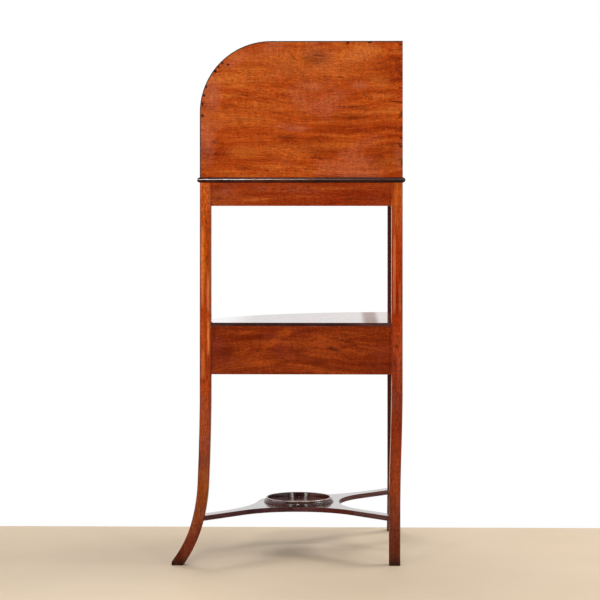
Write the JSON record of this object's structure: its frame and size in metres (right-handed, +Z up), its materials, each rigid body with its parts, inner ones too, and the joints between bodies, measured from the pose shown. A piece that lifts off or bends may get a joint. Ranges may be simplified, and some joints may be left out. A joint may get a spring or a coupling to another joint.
{
  "type": "corner washstand",
  "caption": "Bow-front corner washstand with tall splashback panels, basin and cup holes, an open shelf, a drawer tier, outswept feet and a stretcher with a jug ring.",
  "frame": {"origin": "centre of the bounding box, on the floor under the feet", "axes": "+Z up, -Y out of the bow front, +Y towards the corner of the room"},
  "size_m": [0.693, 0.4548, 1.112],
  "materials": {
    "mahogany": "polished",
    "ebonised": "polished",
    "oak": "bare",
    "brass": "polished",
    "steel": "worn"
  },
  "bodies": {
    "stand": {"back_leg": "mahogany", "front_leg_right": "mahogany", "front_leg_left": "mahogany", "top_board": "mahogany", "splash_right": "mahogany", "splash_left": "mahogany", "frieze_right": "mahogany", "frieze_left": "mahogany", "frieze_bow": "mahogany", "shelf_board": "mahogany", "apron_right": "mahogany", "apron_left": "mahogany", "bow_rail": "mahogany", "dummy_front_right": "mahogany", "dummy_front_left": "mahogany", "dummy_cockbead_right": "mahogany", "dummy_cockbead_left": "mahogany", "divider_right": "mahogany", "divider_left": "mahogany", "stretcher_board": "mahogany", "stretcher_arm": "mahogany", "jug_ring": "mahogany", "top_bead_right": "ebonised", "top_bead_left": "ebonised", "top_bead_bow": "ebonised", "splash_string_right": "ebonised", "splash_string_left": "ebonised", "shelf_edge_right": "ebonised", "shelf_edge_left": "ebonised", "shelf_edge_bow": "ebonised", "runner_right": "oak", "runner_left": "oak", "drawer_stops": "oak", "top_glue_blocks": "oak", "shelf_glue_blocks": "oak", "dummy_knobs": "brass", "dummy_knob_nuts": "brass", "splash_screws": "steel"},
    "drawer": {"drawer_front": "mahogany", "drawer_cockbead": "mahogany", "drawer_side_right": "oak", "drawer_side_left": "oak", "drawer_back": "oak", "drawer_bottom": "oak", "drawer_knob": "brass", "drawer_knob_nut": "brass"}
  },
  "joints": [
    {"name": "drawer_slide", "type": "slide", "parent": "stand", "child": "drawer", "axis": [0, -1, 0], "range_m": [0, 0.2]}
  ]
}
